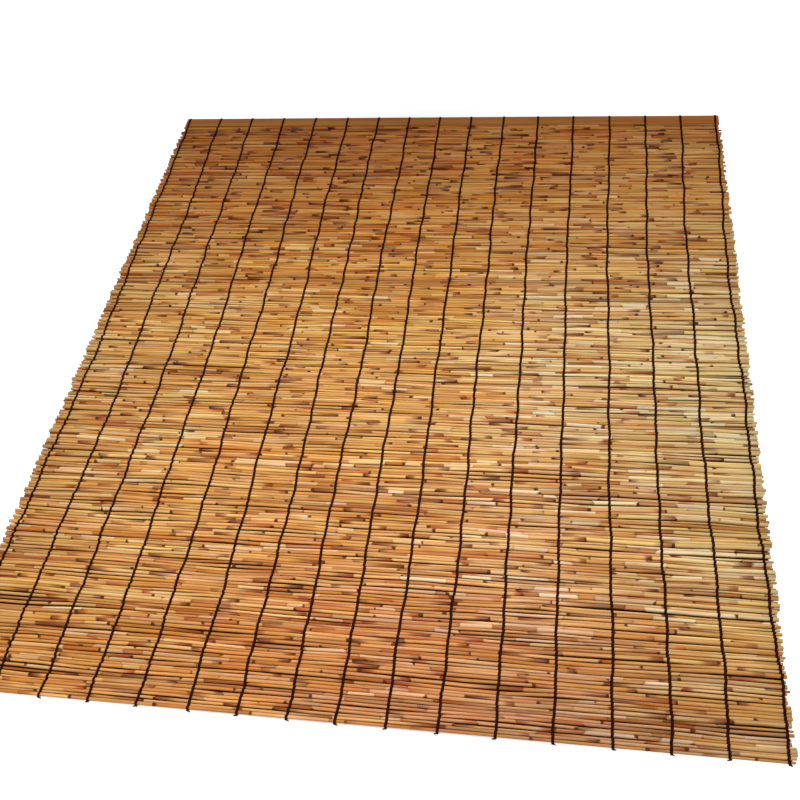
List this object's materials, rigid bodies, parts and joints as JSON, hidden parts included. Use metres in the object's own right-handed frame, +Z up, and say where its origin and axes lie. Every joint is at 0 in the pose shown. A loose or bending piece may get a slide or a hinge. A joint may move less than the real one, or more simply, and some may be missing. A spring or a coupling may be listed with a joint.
{
  "type": "unrolled reed screening roll",
  "caption": "Flat, unrolled screen of whole reed stems laid side by side, bound by dark cords that pass over and under them, with a plain wooden slat along the far edge.",
  "frame": {"origin": "middle of the mat's footprint, on the floor it lies on", "axes": "+Y along the binding cords towards the slat, +X along the reeds, +Z up out of the laid mat"},
  "size_m": [1.5, 1.75, 0.0125],
  "materials": {
    "reed": "dry, smooth stems with a low natural sheen",
    "slat": "planed, unvarnished lath",
    "cord": "dull twisted yarn"
  },
  "bodies": {
    "root": {"reeds_01": "reed", "reeds_02": "reed", "reeds_03": "reed", "reeds_04": "reed", "reeds_05": "reed", "reeds_06": "reed", "reeds_07": "reed", "reeds_08": "reed", "reeds_09": "reed", "reeds_10": "reed", "end_slat": "slat", "binding_cord_01": "cord", "binding_cord_02": "cord", "binding_cord_03": "cord", "binding_cord_04": "cord", "binding_cord_05": "cord", "binding_cord_06": "cord", "binding_cord_07": "cord", "binding_cord_08": "cord", "binding_cord_09": "cord", "binding_cord_10": "cord", "binding_cord_11": "cord", "binding_cord_12": "cord", "binding_cord_13": "cord", "binding_cord_14": "cord", "binding_cord_15": "cord", "binding_cord_16": "cord", "binding_cord_17": "cord"}
  },
  "joints": []
}
